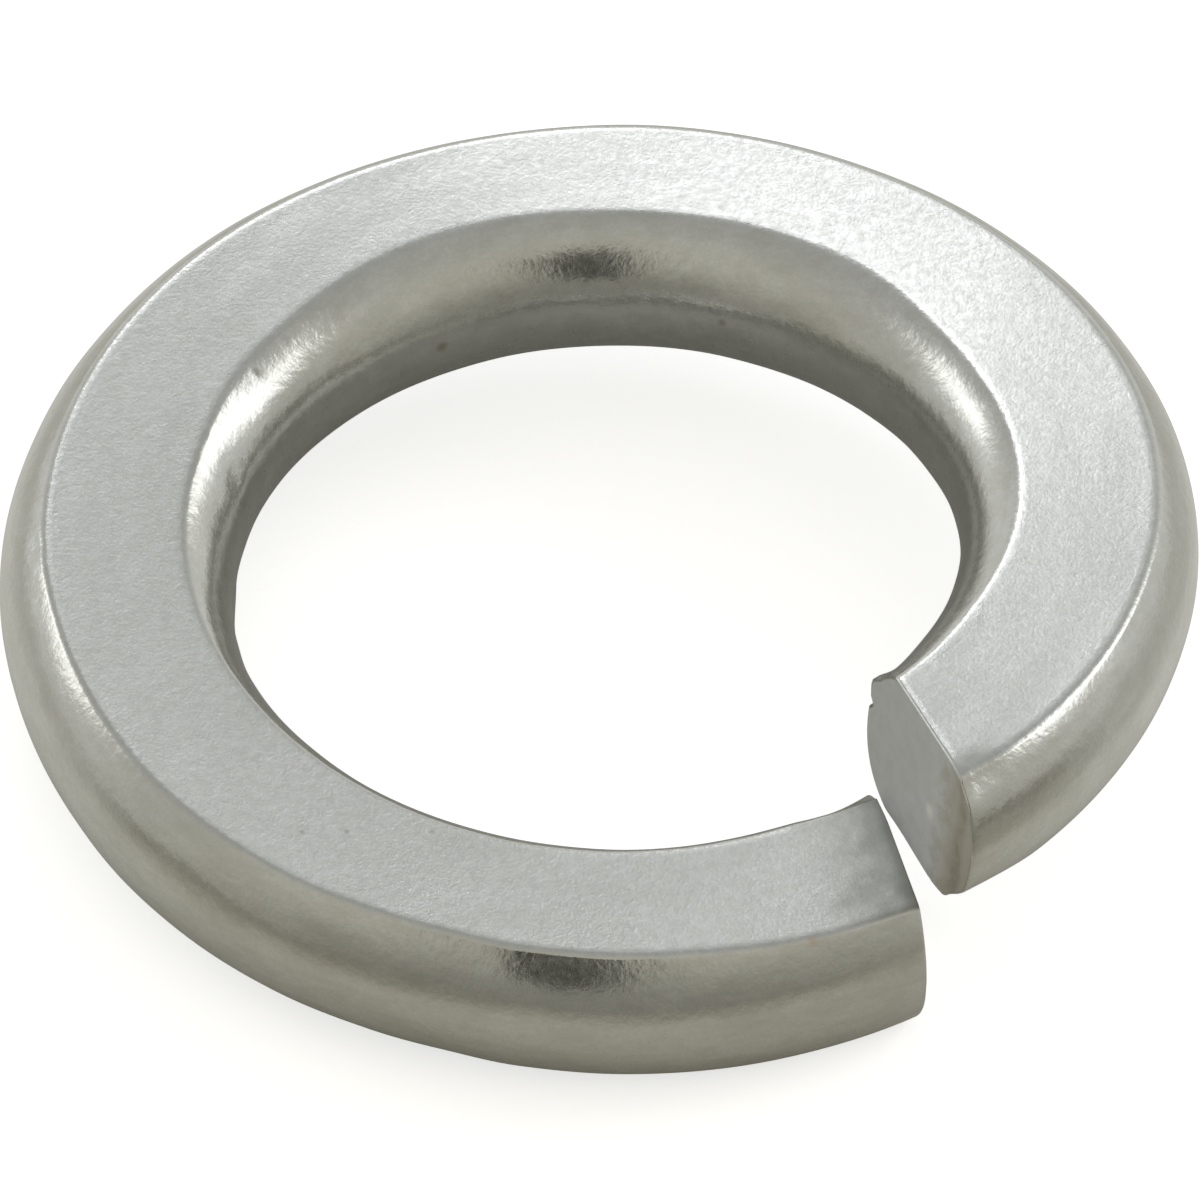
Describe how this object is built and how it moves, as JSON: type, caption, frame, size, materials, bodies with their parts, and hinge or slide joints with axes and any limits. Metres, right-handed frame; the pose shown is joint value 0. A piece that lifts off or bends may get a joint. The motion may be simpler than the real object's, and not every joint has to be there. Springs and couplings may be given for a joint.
{
  "type": "spring lock washer",
  "caption": "Split spring lock washer: one turn of flat-sided round-edged wire, wound left-handed on edge, with its cut ends sprung apart.",
  "frame": {"origin": "on the bore's axis, level with the lowest point of the low end", "axes": "+Z along the bore, from the low end towards the raised end; the split lies at 50 degrees from +X towards -Y"},
  "size_m": [0.018, 0.018, 0.0046],
  "materials": {
    "plated_steel": "satin zinc-plated spring steel, finely grained, with glossier rounded sides"
  },
  "bodies": {
    "root": {"lock_washer": "plated_steel"}
  },
  "joints": []
}
